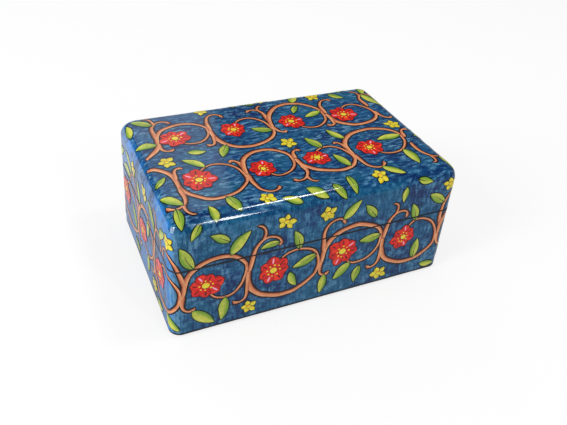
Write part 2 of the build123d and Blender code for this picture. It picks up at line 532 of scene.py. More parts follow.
# How many marks to the metre each finish has, along x, y and z where they differ
LACQUER_WAVES = 150.0
LACQUER_RIPPLE = 620.0
LEVEL_STROKES = (170.0, 820.0, 820.0)
UPRIGHT_STROKES = (800.0, 800.0, 150.0)
COATS = (34.0, 70.0, 56.0)
DABS = (230.0, 400.0, 320.0)
WASHES = (70.0, 96.0, 80.0)
BLUE_PATCHES = 46.0
WOOD_GRAIN = (60.0, 900.0, 900.0)
WOOD_CLOUDS = 90.0
BRUSH_DABS = 320.0
LINE_DABS = 420.0
STROKED_PILE = 65.0
TUFTS = 1500.0
PILE = 5200.0
FELT_BENDS = 260.0
FIBRES = (700.0, 3600.0, 3600.0)
CROSSED_FIBRES = (3600.0, 700.0, 3600.0)
FELT_CLOUDS = 120.0
EDGE_TREMBLE = 240.0
EDGE_UNEVEN = 330.0
METAL_BRUSHING = (160.0, 5200.0, 5200.0)
METAL_PATCHES = 420.0
# The same for a brush stroke: along it, across it and from one stroke to the next
STROKE_MARKS = (260.0, 5.0, 40.0)

LACQUER_DEPTH = 0.02 * MM
GRAIN_DEPTH = 0.08 * MM
PILE_DEPTH = 0.12 * MM
FELT_DEPTH = 0.15 * MM
BRUSHING_DEPTH = 0.01 * MM

# The dark lines at the parting and the foot, which are painted shade: where their edge begins and where
# they are darkest
RIM_EDGE, RIM_LINE = 0.75 * MM, 0.4 * MM
FOOT_EDGE, FOOT_LINE = 2.2 * MM, 1.5 * MM


def lacquered(graph, strokes):
    """The waves of a thick hand-brushed lacquer over the marks of the paint brush."""
    where = position(graph)
    waves = graph.noise(where, LACQUER_WAVES, 2.0)
    ripple = graph.noise(where, LACQUER_RIPPLE, 2.0)
    return bumped(graph, waves * 1.5 + ripple * 0.4 + strokes * 0.4, LACQUER_DEPTH)


def brushed_ground(graph):
    """Blue paint in several coats: upright strokes on the sides and level ones on the top."""
    coordinates = graph.add("ShaderNodeTexCoord")
    where = coordinates["Object"]
    facing = graph.split(coordinates["Normal"])
    on_top = graph.between(abs(facing["Z"]), 0.45, 0.85)
    on_end = graph.between(abs(facing["X"]), 0.5, 0.9)
    # Upright corners, which get a painted reflection
    painted_corner_reflection = graph.between(abs(facing["X"] * facing["Y"]), 0.15, 0.5)
    level = graph.noise(where, LEVEL_STROKES, 4.0, 0.6)
    upright = graph.noise(where, UPRIGHT_STROKES, 4.0, 0.6)
    streaks = level * on_top + upright * (1 - on_top)
    broad = graph.noise(where, COATS, 5.0, 0.65)
    dabs = graph.noise(where, DABS, 5.0, 0.72)
    wash = graph.noise(where, WASHES, 5.0, 0.65)
    bluer = graph.between(graph.noise(where, BLUE_PATCHES, 2.0), 0.4, 0.6)
    tone = graph.mix(bluer * (0.3 + on_top * 0.7), SLATE_BLUE, DEEP_BLUE)
    # The ends are a brighter cobalt: partly a tint of their own, partly painted light for the stronger
    # light that falls on the end faces
    tone = graph.mix(on_end * 0.85, tone, COBALT)
    paint = graph.mix(graph.between(broad + streaks * 0.25, 0.5, 0.72), NAVY, tone)
    paint = graph.mix(graph.between(dabs + streaks * 0.35, 0.58, 0.8) * 0.8, paint, STEEL_BLUE)
    paint = graph.mix(graph.between(wash, 0.56, 0.72) * on_top * 0.35, paint, VIOLET)
    paint = graph.mix(graph.between(streaks, 0.5, 0.36) * 0.45, paint, NAVY)
    light = graph.between(streaks * 0.6 + dabs * 0.9 + (wash - 0.5) * 0.5, 0.76, 1.02)
    paint = graph.mix(light * (0.45 + on_top * 0.35), paint, PALE_BLUE)
    # Painted reflection: the upright corners are painted lighter, standing in for the floor that shines in
    # them
    paint = graph.mix(painted_corner_reflection * (streaks * 0.6 - 0.05), paint, PALE_BLUE)
    height = graph.split(where)["Z"]
    # Painted shade: the paint turns near black in the groove of the parting line and along the foot and
    # underside, where shade falls. The same band is made matt.
    rim = graph.between(abs(height - PARTING), RIM_EDGE, RIM_LINE)
    foot = graph.between(height, UNDERSIDE + FOOT_EDGE, UNDERSIDE + FOOT_LINE)
    painted_shade = (rim + foot) * 0.92
    paint = graph.mix(painted_shade, paint, PAINTED_SHADE_COLOUR)
    return finish(paint, 0.05 + dabs * 0.05 + painted_shade * 0.5, lacquered(graph, streaks))


def plain_inside(graph):
    """The thin dark coat on the inside of the walls, where the grain of the wood still shows."""
    where = position(graph)
    grain = graph.noise(where, WOOD_GRAIN, 4.0)
    cloud = graph.noise(where, WOOD_CLOUDS, 3.0)
    paint = graph.mix(graph.between(grain + cloud * 0.4, 0.5, 0.9), NAVY, DEEP_BLUE)
    return finish(paint, 0.38 + grain * 0.2, bumped(graph, grain, GRAIN_DEPTH))


def along_stroke(graph, grain):
    """Brush marks that run with a stroke, from where a point lies on it."""
    across = graph.attribute("across")
    along, over, apart = STROKE_MARKS
    where = graph.add("ShaderNodeCombineXYZ", {
        0: graph.attribute("along") * (along * grain),
        1: across * over,
        2: graph.attribute("tint") * apart,
    })
    return across, graph.noise(where, 1.0, 4.0, 0.6)


def stroke_paint(body, shade, light, shade_from=0.0, shade_to=0.95, grain=1.0, root=0.0, vary=0.0):
    """Paint put on with a small brush: darker along one side, and near its root where it has one,
    with lighter streaks. Strokes may vary from one to the next."""

    def build(graph):
        across, marks = along_stroke(graph, grain)
        tint = graph.attribute("tint")
        dabs = graph.noise(position(graph), BRUSH_DABS, 4.0, 0.65)
        shaded = graph.between(across + marks * 1.1 - 0.55, shade_from, shade_to)
        if root:
            near = graph.between(graph.attribute("along") + marks * (0.6 * root), root, 0.15 * root)
            shaded = graph.maths("MAXIMUM", shaded, near)
        paint = graph.mix(shaded, body, shade)
        paint = graph.mix(graph.between(marks - across * 0.12, 0.52, 0.72) * 0.8, paint, light)
        paint = graph.mix(graph.between(dabs + tint * vary, 0.5, 0.8) * 0.5, paint, shade)
        return finish(paint, 0.07 + dabs * 0.07, lacquered(graph, marks))

    return build


def line_paint(dark, thin):
    """The dark line round a shape, thinner and paler where the brush ran dry."""

    def build(graph):
        dabs = graph.noise(position(graph), LINE_DABS, 4.0)
        paint = graph.mix(graph.between(dabs, 0.58, 0.85) * 0.4, dark, thin)
        return finish(paint, 0.1 + dabs * 0.1, lacquered(graph, dabs))

    return build


def velvet_pile(graph):
    """Short pile that shines paler where it was stroked the other way."""
    where = position(graph)
    stroked = graph.noise(where, STROKED_PILE, 4.0, 0.6)
    tufts = graph.noise(where, TUFTS, 3.0)
    pile = graph.noise(where, PILE, 2.0)
    cloth = graph.mix(graph.between(stroked + tufts * 0.4, 0.55, 0.95) * 0.32, VELVET, VELVET_SHEEN)
    cloth = graph.mix(graph.between(pile, 0.5, 0.34) * 0.6, cloth, NAVY)
    return finish(cloth, 0.72 + pile * 0.2, bumped(graph, pile + tufts * 0.8, PILE_DEPTH))


def wool_felt(graph):
    """Matted fibres that lie in all directions."""
    where = position(graph)
    bend = graph.noise(where, FELT_BENDS, 2.0)["Color"]
    bent = graph.vector("ADD", where, graph.scaled(bend, 3 * MM))
    fibres = graph.noise(bent, FIBRES, 3.0)
    crossed = graph.noise(bent, CROSSED_FIBRES, 3.0)
    cloud = graph.noise(where, FELT_CLOUDS, 4.0)
    matted = graph.maths("MAXIMUM", fibres, crossed)
    cloth = graph.mix(graph.between(matted + cloud * 0.3, 0.6, 0.9) * 0.5, FELT, VELVET_SHEEN)
    return finish(cloth, 0.85 + cloud * 0.12, bumped(graph, matted, FELT_DEPTH))


def worn_brass(graph):
    """Rolled brass, brushed along its length and dulled in patches."""
    where = position(graph)
    brushed = graph.noise(where, METAL_BRUSHING, 3.0)
    patches = graph.noise(where, METAL_PATCHES, 4.0, 0.6)
    metal = graph.mix(graph.between(patches + brushed * 0.3, 0.6, 1.0) * 0.7, BRASS, DULL_BRASS)
    return finish(metal, 0.2 + patches * 0.22 + brushed * 0.08, bumped(graph, brushed, BRUSHING_DEPTH))


# The painted design: a running scroll round the sides and two mirrored ones on the top

CORNER_LENGTH = 2 * math.pi * CORNER / 4
FRONT_LENGTH = 2 * (HALF_X - CORNER)
SIDE_LENGTH = 2 * (HALF_Y - CORNER)
PERIMETER = 2 * (FRONT_LENGTH + SIDE_LENGTH) + 4 * CORNER_LENGTH
LINE_STEP = 1.0 * MM
FEWEST_STEPS = 6
WANDER = 2.3 * MM
WANDER_LENGTH = 27 * MM
SHAKE = 0.4 * MM
SHAKE_LENGTH = 6 * MM

chance = random.Random(DESIGN_SEED)


def round_the_box(u):
    """Where a way u round the box from the middle of the front comes to, and which way that faces."""
    u = (u + FRONT_LENGTH / 2) % PERIMETER
    reach = (HALF_X - CORNER, HALF_Y - CORNER)
    for quarter, (side_x, side_y) in enumerate(QUARTERS):
        straight = FRONT_LENGTH if quarter % 2 == 0 else SIDE_LENGTH
        turn = (quarter - 1) * math.pi / 2
        corner = Vector((side_x * reach[0], side_y * reach[1]))
        if u <= straight:
            outward = towards(turn)
            return corner + outward * CORNER + outward.orthogonal() * (u - straight), outward
        u -= straight
        if u <= CORNER_LENGTH:
            outward = towards(turn + u / CORNER)
            return corner + outward * CORNER, outward
        u -= CORNER_LENGTH
    return round_the_box(0)


def on_side(u, v):
    """A point of the sides, unrolled: u round the box and v up the wall and on over the edge."""
    place, outward = round_the_box(u)
    turn = min(max(0.0, (v - CEILING) / TOP_ROUND), math.pi / 2)
    over = max(0.0, v - CEILING - TOP_ROUND * math.pi / 2)
    inset = TOP_ROUND * (1 - math.cos(turn)) + over
    z = min(v, CEILING) + TOP_ROUND * math.sin(turn)
    return Vector((*(place - outward * inset), z))


def on_top(u, v):
    """A point of the top, unrolled: beyond its flat middle it runs down over the edge."""
    flat_x, flat_y = HALF_X - TOP_ROUND, HALF_Y - TOP_ROUND
    inner = Vector((max(-flat_x, min(flat_x, u)), max(-flat_y, min(flat_y, v))))
    past = Vector((u, v)) - inner
    if past.length == 0:
        return Vector((u, v, TOP))
    turn = min(past.length / TOP_ROUND, math.pi / 2)
    down = max(0.0, past.length - TOP_ROUND * math.pi / 2)
    place = inner + past.normalized() * TOP_ROUND * math.sin(turn)
    return Vector((*place, TOP - TOP_ROUND * (1 - math.cos(turn)) - down))


def by_hand(point):
    """Where an unsteady hand puts a point of the drawing."""
    slow = WANDER * noise.noise_vector(point / WANDER_LENGTH)
    return point + slow + SHAKE * noise.noise_vector(point / SHAKE_LENGTH)


strokes = {}


class Covered:
    """The parts of the box that are painted on, as balls round points."""

    def __init__(self):
        self.places = np.zeros((0, 3))
        self.reaches = np.zeros(0)

    def take(self, points, widths):
        self.places = np.vstack((self.places, [tuple(point) for point in points]))
        self.reaches = np.append(self.reaches, widths)

    def room_round(self, point):
        """How far it is from a point to the nearest paint."""
        if not len(self.reaches):
            return 1.0
        away = np.linalg.norm(self.places - np.array(point), axis=1) - self.reaches
        return float(away.min())


covered = Covered()


def stroke(kind, chart, line, widths, tint=None):
    """Keeps one stroke: its middle line on the box and its half width at each point."""
    points = [by_hand(chart(u, v)) for u, v in line]
    tint = chance.random() if tint is None else tint
    strokes.setdefault(kind, []).append((points, widths, tint))
    return points


def leaf_width(width, share):
    """Half the width of a leaf at a share of its length."""
    return width * math.sin(math.pi * share ** LEAF_BELLY) ** 0.8


def curved_line(root, heading, length, bend, curl=1.0):
    """A line in the chart from root that turns by bend in all: steadily, or more and more towards its
    tip where curl is above 1."""
    count = max(FEWEST_STEPS, round(length / LINE_STEP))
    u, v = root
    line = [(u, v)]
    for i in range(count):
        share = (i + 0.5) / count
        angle = heading + (bend * share ** curl if curl > 1 else bend * (share - 0.5))
        u += length / count * math.cos(angle)
        v += length / count * math.sin(angle)
        line.append((u, v))
    return line


DAB_STEPS = 8


def disc(kind, chart, centre, radius):
    """A round dab of paint, as one short fat stroke."""
    turns = [math.pi * i / DAB_STEPS for i in range(DAB_STEPS + 1)]
    line = [(centre[0] - radius * math.cos(turn), centre[1]) for turn in turns]
    stroke(kind, chart, line, [radius * math.sin(turn) for turn in turns])


# Leaves: the lengths and the angles from the stem that are tried in turn, the half width and the
# places where the room is tested as shares of the length, and what share of them has no vein
LEAF_LENGTHS = [size * MM for size in (13.5, 12, 10.5, 9)]
LEAF_SPREADS = [math.radians(angle) for angle in (42, 58, 28, 74, 92)]
LEAF_SHAPE = 0.19
LEAF_BELLY = 0.85
LEAF_TRIALS = (0.3, 0.45, 0.6, 0.75, 0.9, 1.0)
LEAF_GAP = 1.4 * MM
LOWEST_LEAF = 3.7 * MM
VEIN_WIDTH = 0.24 * MM
VEIN_LENGTH = 0.7
UNVEINED = 0.6


def add_leaf(chart, root, heading, length, bend):
    line = curved_line(root, heading, length, bend)
    width = length * LEAF_SHAPE * chance.uniform(0.88, 1.12)
    widths = [leaf_width(width, i / (len(line) - 1)) for i in range(len(line))]
    tint = chance.random()
    points = stroke("leaf", chart, line, widths, tint)
    if tint > UNVEINED:
        vein = line[:round(len(line) * VEIN_LENGTH)]
        thin = [VEIN_WIDTH * (1 - 0.8 * i / (len(vein) - 1)) for i in range(len(vein))]
        stroke("vein", chart, vein, thin, tint)
    covered.take(points[2:], widths[2:])


def leaf_fits(chart, root, heading, length, bend):
    line = curved_line(root, heading, length, bend)
    for share in LEAF_TRIALS:
        u, v = line[round(share * (len(line) - 1))]
        if chart is on_side and v < LOWEST_LEAF:
            return False
        width = leaf_width(length * LEAF_SHAPE, share) if share < 1 else 0
        if covered.room_round(by_hand(chart(u, v))) < width + LEAF_GAP:
            return False
    return True


def try_leaf(chart, root, heading, way):
    """Adds the longest leaf that fits beside what is painted, on one side of a stem."""
    for length in LEAF_LENGTHS:
        for spread in LEAF_SPREADS:
            bend = way * chance.uniform(-0.5, 0.15)
            angle = heading + way * spread
            if leaf_fits(chart, root, angle, length, bend):
                add_leaf(chart, root, angle, length, bend)
                return True
    return False


def offset(spot, angle, distance):
    """The spot in the chart that lies some way off from another."""
    return spot[0] + distance * math.cos(angle), spot[1] + distance * math.sin(angle)


def heading_at(line, i):
    (u0, v0), (u1, v1) = line[max(0, i - 1)], line[min(len(line) - 1, i + 1)]
    return math.atan2(v1 - v0, u1 - u0)


# Stems: half widths, the share of the length in which they swell, their waves, tip and knob, and
# how far it is from leaf to leaf
STEM_WIDTH = 1.2 * MM
SPRIG_WIDTH = 0.95 * MM
TENDRIL_WIDTH = 0.6 * MM
STEM_END = 0.4 * MM
STEM_TIP = 1.6 * MM
STEM_SWELL = 0.2
STEM_WAVE = 0.12
STEM_WAVES = 5 * MM
KNOB = 0.5 * MM
KNOB_LENGTH = 3.2 * MM
LEAF_EVERY = 14 * MM


def stem_widths(count, width, knob):
    """Swells quickly from where the stem leaves the last one, tapers, and ends in a point or a knob."""
    widths = []
    for i in range(count):
        share = i / (count - 1)
        swell = min(1.0, 0.5 + share / STEM_SWELL)
        taper = 1.0 - max(0.0, share - STEM_SWELL) / (1 - STEM_SWELL)
        wave = 1 + STEM_WAVE * math.sin(i * LINE_STEP / STEM_WAVES + width / MM)
        here = STEM_END + (width - STEM_END) * swell * taper ** 1.7 * wave
        left = (count - 1 - i) * LINE_STEP
        if knob and left < KNOB_LENGTH:
            here += KNOB * math.sin(math.pi * left / KNOB_LENGTH)
        widths.append(here * min(1.0, 0.12 + left / STEM_TIP))
    return widths


stems = []


def add_stem(chart, line, width=STEM_WIDTH, knob=False, leafy=True):
    widths = stem_widths(len(line), width * chance.uniform(0.9, 1.1), knob)
    covered.take(stroke("stem", chart, line, widths), widths)
    if leafy:
        stems.append((chart, line, widths))


# Flowers: how many petals and dots they have, and the belly and the bluntness of each kind of petal
ROSETTE_PETALS = 7
ROSETTE_DOTS = 8
ROSETTE_DOT = (0.35 * MM, 0.55 * MM)
BLOSSOM_PETALS = 5
PETAL_SHAPES = {"petal": (1.35, 0.62), "blossom": (1.05, 0.9)}
PETAL_START = 0.12
CREASE_WIDTH = 0.32 * MM


def add_flower(kind, chart, centre, radius, petals, fatness):
    """Petals round a heart, each a short fat stroke from the middle outwards."""
    first = chance.uniform(0, 2 * math.pi)
    for i in range(petals):
        angle = first + 2 * math.pi * (i + chance.uniform(-0.09, 0.09)) / petals
        length = radius * chance.uniform(0.9, 1.08)
        root = offset(centre, angle, PETAL_START * length)
        line = curved_line(root, angle, length * (1 - PETAL_START), chance.uniform(-0.3, 0.3))
        fat = fatness * radius * chance.uniform(0.9, 1.1)
        belly, blunt = PETAL_SHAPES[kind]
        widths = [
            fat * math.sin(math.pi * (k / (len(line) - 1)) ** belly) ** blunt for k in range(len(line))
        ]
        widths[-1] = 0.0
        stroke(kind, chart, line, widths)
        if kind == "petal":
            mark = line[round(len(line) * 0.4):round(len(line) * 0.85)]
            thin = [CREASE_WIDTH * math.sin(math.pi * (k + 1) / (len(mark) + 1)) for k in range(len(mark))]
            stroke("highlight" if i % 4 == 1 else "crease", chart, mark, thin)
    covered.take([by_hand(chart(*centre))], [radius])


def add_rosette(chart, centre, radius):
    add_flower("petal", chart, centre, radius, ROSETTE_PETALS, 0.36)
    disc("heart", chart, centre, radius * 0.22)
    for i in range(ROSETTE_DOTS):
        angle = 2 * math.pi * (i + chance.uniform(-0.15, 0.15)) / ROSETTE_DOTS
        spot = offset(centre, angle, radius * chance.uniform(0.34, 0.42))
        disc("dot", chart, spot, chance.uniform(*ROSETTE_DOT))


def add_blossom(chart, centre, radius):
    add_flower("blossom", chart, centre, radius, BLOSSOM_PETALS, 0.33)
    disc("blossom_heart", chart, centre, radius * 0.26)


LEAF_OVERLAP = 0.3 * MM
BAND_CENTRE = 28 * MM
BAND_SCROLLS = 14
BAND_HEIGHT = 16.5 * MM
SIDE_ROSETTE = 7.6 * MM
TOP_SCROLLS = 4
TOP_RADIUS = 15.5 * MM
TOP_ROW = 18.5 * MM
TOP_ROSETTE = 7.4 * MM
SCROLL_TURN = math.radians(305)
SCROLL_STEADY = math.radians(150)
SCROLL_END = 0.36
UNEVEN = 0.15

# How far back round the scroll before it a stem begins
LEAD = math.radians(10)
LONG_LEAD = math.radians(72)

# The side shoots: the shortest and the longest that grow outwards, then those that grow inwards,
# how far they turn on their way, and how much they lean
SIDE_SPRIGS = ((27 * MM, 35 * MM), (13 * MM, 18 * MM))
SIDE_BENDS = (2.8, 3.8)
SIDE_LEAN = -0.12
TOP_SPRIGS = ((20 * MM, 26 * MM), (10 * MM, 14 * MM))
TOP_BENDS = (2.6, 3.6)


def arc(centre, radius_u, radius_v, start, turn):
    """Points along part of an ellipse."""
    steps = max(2, round(abs(turn) * (radius_u + radius_v) / 2 / LINE_STEP))
    angles = [start + turn * i / steps for i in range(steps + 1)]
    return [(centre[0] + radius_u * math.cos(a), centre[1] + radius_v * math.sin(a)) for a in angles]


def add_scroll(chart, centre, before, radius_u, radius_v, way, rosette, lead):
    """Half a circle that is part of the running stem, and then inwards to a flower. It grows out of
    the scroll before it, whose last stretch it shares."""
    last = (centre[0] - radius_u - before, centre[1])
    line = arc(last, before, radius_v, way * lead, -way * lead)[:-1]
    steps = round(SCROLL_TURN * radius_u * 0.82 / LINE_STEP)
    for i in range(steps + 1):
        turned = SCROLL_TURN * i / steps
        inward = max(0.0, turned - SCROLL_STEADY) / (SCROLL_TURN - SCROLL_STEADY)
        share = 1 - (1 - SCROLL_END) * inward
        angle = math.pi + way * turned
        line.append((
            centre[0] + share * radius_u * math.cos(angle),
            centre[1] + share * radius_v * math.sin(angle),
        ))
    add_stem(chart, line)
    radius = rosette * chance.uniform(0.9, 1.1)
    angle = heading_at(line, len(line) - 1)
    add_rosette(chart, offset(line[-1], angle, 0.7 * radius), radius)


# Side shoots: the room round them, the lengths that are tried as shares of the full one, and where
# on them the fork and the late leaf are
SPRIG_ROOM = 1.3 * MM
SPRIG_START = 3 * MM
SPRIG_SHARES = (1.0, 0.85, 0.7, 0.55)
ROOT_POINTS = 7
FORK = 0.55
LATE_LEAF = 0.75
BLOSSOM_RADIUS = (3.9 * MM, 4.7 * MM)
BLOSSOM_GAP = 2.2 * MM


def clear_line(chart, root, heading, length, bend, curl):
    """The longest line of that kind that stays clear of what is painted, turned either way, or None."""
    for share in SPRIG_SHARES:
        for way in (1, -1):
            line = curved_line(root, heading, length * share, bend * way, curl)
            room = [covered.room_round(by_hand(chart(u, v))) for u, v in line[ROOT_POINTS:]]
            if room and min(room) > SPRIG_ROOM:
                return line, way
    return None, 0


def add_sprig(chart, root, heading, length, bend, flower):
    """A side shoot that curls up at its tip, with a tendril or a yellow blossom, and a leaf."""
    line, way = clear_line(chart, root, heading, length, bend, 2.6)
    if not line:
        return
    side = math.copysign(1, bend) * way
    fork = round(len(line) * FORK)
    angle = heading_at(line, fork)
    add_stem(chart, line, SPRIG_WIDTH, knob=True)
    tendril, way = clear_line(chart, line[fork], angle - side * 0.5, length * 0.36, -side * 2.2, 1.8)
    if tendril and way > 0 and not flower:
        add_stem(chart, tendril, TENDRIL_WIDTH, leafy=False)
    if flower:
        radius = chance.uniform(*BLOSSOM_RADIUS)
        away = offset(line[fork], angle - side * 0.9, (radius + BLOSSOM_GAP) * 1.1)
        if covered.room_round(by_hand(chart(*away))) > radius:
            add_blossom(chart, away, radius)
    late = round(len(line) * LATE_LEAF)
    try_leaf(chart, line[late], heading_at(line, late), -side)


def uneven_sizes(count, mean):
    """Sizes that differ as those drawn by hand do, and keep their mean."""
    sizes = [mean * (1 + chance.uniform(-UNEVEN, UNEVEN)) for i in range(count)]
    return [size * mean * count / sum(sizes) for size in sizes]


def running_scrolls(chart, start, row, radii, height, rosette, first_way, lead):
    """A row of scrolls that grow out of one another, turned up and down in turn. Gives back where
    their stems cross the middle of the row."""
    crossings = [start]
    before = radii[-1]
    for i, radius in enumerate(radii):
        centre = (crossings[-1] + radius, row)
        way = first_way * (1 if i % 2 else -1)
        add_scroll(chart, centre, before, radius, height or radius, way, rosette, lead)
        crossings.append(centre[0] + radius)
        before = radius
        lead = LEAD
    return crossings


def add_sprigs(chart, crossings, row, out_way, lean, lengths, bends, flowers_from):
    """Two shoots from each crossing of a row of scrolls, a long one outwards and a short one inwards.
    Every other one has a flower, from the first or the second crossing on."""
    for i, crossing in enumerate(crossings):
        way = out_way if i % 2 else -out_way
        long_and_short = [chance.uniform(*limits) for limits in lengths]
        for out, length in zip((1, -1), long_and_short):
            root = (crossing, row + out_way * out * SPRIG_START)
            bend = way * out * chance.uniform(*bends)
            heading = out_way * out * math.pi / 2 + way * out * lean
            add_sprig(chart, root, heading, length, bend, (i % 2 == flowers_from) == (out > 0))


def design():
    radii = uneven_sizes(BAND_SCROLLS, PERIMETER / BAND_SCROLLS / 2)
    band = running_scrolls(on_side, 0.0, BAND_CENTRE, radii, BAND_HEIGHT, SIDE_ROSETTE, 1, LEAD)
    rows = {}
    for row in (-1, 1):
        radii = uneven_sizes(TOP_SCROLLS, TOP_RADIUS)
        start = -TOP_SCROLLS * TOP_RADIUS
        rows[row] = running_scrolls(
            on_top, start, row * TOP_ROW, radii, None, TOP_ROSETTE, row, LONG_LEAD
        )
    add_sprigs(on_side, band[:-1], BAND_CENTRE, 1, SIDE_LEAN, SIDE_SPRIGS, SIDE_BENDS, 0)
    for row, crossings in rows.items():
        add_sprigs(on_top, crossings, row * TOP_ROW, row, 0.0, TOP_SPRIGS, TOP_BENDS, 1)
    every = round(LEAF_EVERY / LINE_STEP)
    for chart, line, widths in list(stems):
        way = chance.choice((-1, 1))
        for i in range(every, len(line) - 2, every):
            for side in (way, -way):
                heading = heading_at(line, i)
                root = offset(line[i], heading + side * math.pi / 2, widths[i] - LEAF_OVERLAP)
                if try_leaf(chart, root, heading, side):
                    break
            way = -way
    scatter()


SCATTER_TRIES = 1500
SCATTER_ROOM = 6.0 * MM
SCATTER_ON_TOP = 0.4
SCATTER_BLOSSOMS = 0.1
SCATTER_TURNS = 6
SCATTER_BEND = 0.3
LARGEST_BLOSSOM = 4.4 * MM


def scatter():
    """Loose leaves and a few blossoms in the places that stayed empty."""
    for _ in range(SCATTER_TRIES):
        if chance.random() < SCATTER_ON_TOP:
            chart = on_top
            spot = (chance.uniform(-1, 1) * (HALF_X - 2 * MM), chance.uniform(-1, 1) * (HALF_Y - 2 * MM))
        else:
            chart = on_side
            spot = (chance.uniform(0, PERIMETER), chance.uniform(5 * MM, CEILING + 6 * MM))
        room = covered.room_round(by_hand(chart(*spot)))
        if room < SCATTER_ROOM:
            continue
        if chance.random() < SCATTER_BLOSSOMS:
            add_blossom(chart, spot, min(room - LEAF_GAP, LARGEST_BLOSSOM))
            continue
        heading = chance.uniform(0, 2 * math.pi)
        for turn in range(SCATTER_TURNS):
            length = chance.choice(LEAF_LENGTHS[2:])
            back = heading + turn * 2 * math.pi / SCATTER_TURNS
            root = offset(spot, back, -length / 2)
            fits = leaf_fits(chart, root, back, length, SCATTER_BEND)
            if fits and covered.room_round(by_hand(chart(*root))) > LEAF_GAP:
                add_leaf(chart, root, back, length, SCATTER_BEND)
                break


# Brush strokes as thin films of paint, by Geometry Nodes

# How deep a film reaches into the ground, how much higher some strokes of a coat lie than others,
# and how far the films keep from the parting line
FILM_DEPTH = 0.06 * MM
LIFT_SPREAD = 0.008 * MM
BARE_RIM = 0.42 * MM


def maker_tree(name, **inputs):
    """An empty Geometry Nodes tree with named inputs, its graph and what it is given."""
    tree = bpy.data.node_groups.new(name, "GeometryNodeTree")
    tree.is_modifier = True
    for label, kind in {"Geometry": "Geometry", **inputs, "Paint": "Material"}.items():
        tree.interface.new_socket(label, in_out="INPUT", socket_type=f"NodeSocket{kind}")
    tree.interface.new_socket("Geometry", in_out="OUTPUT", socket_type="NodeSocketGeometry")
    graph = Graph(tree)
    return graph, graph.add("NodeGroupInput")


def finished_tree(graph, given, geometry):
    real = graph.add("GeometryNodeRealizeInstances", {"Geometry": geometry})
    painted = graph.add("GeometryNodeSetMaterial", {"Geometry": real, "Material": given["Paint"]})
    graph.add("NodeGroupOutput", {"Geometry": painted})
    return graph.tree


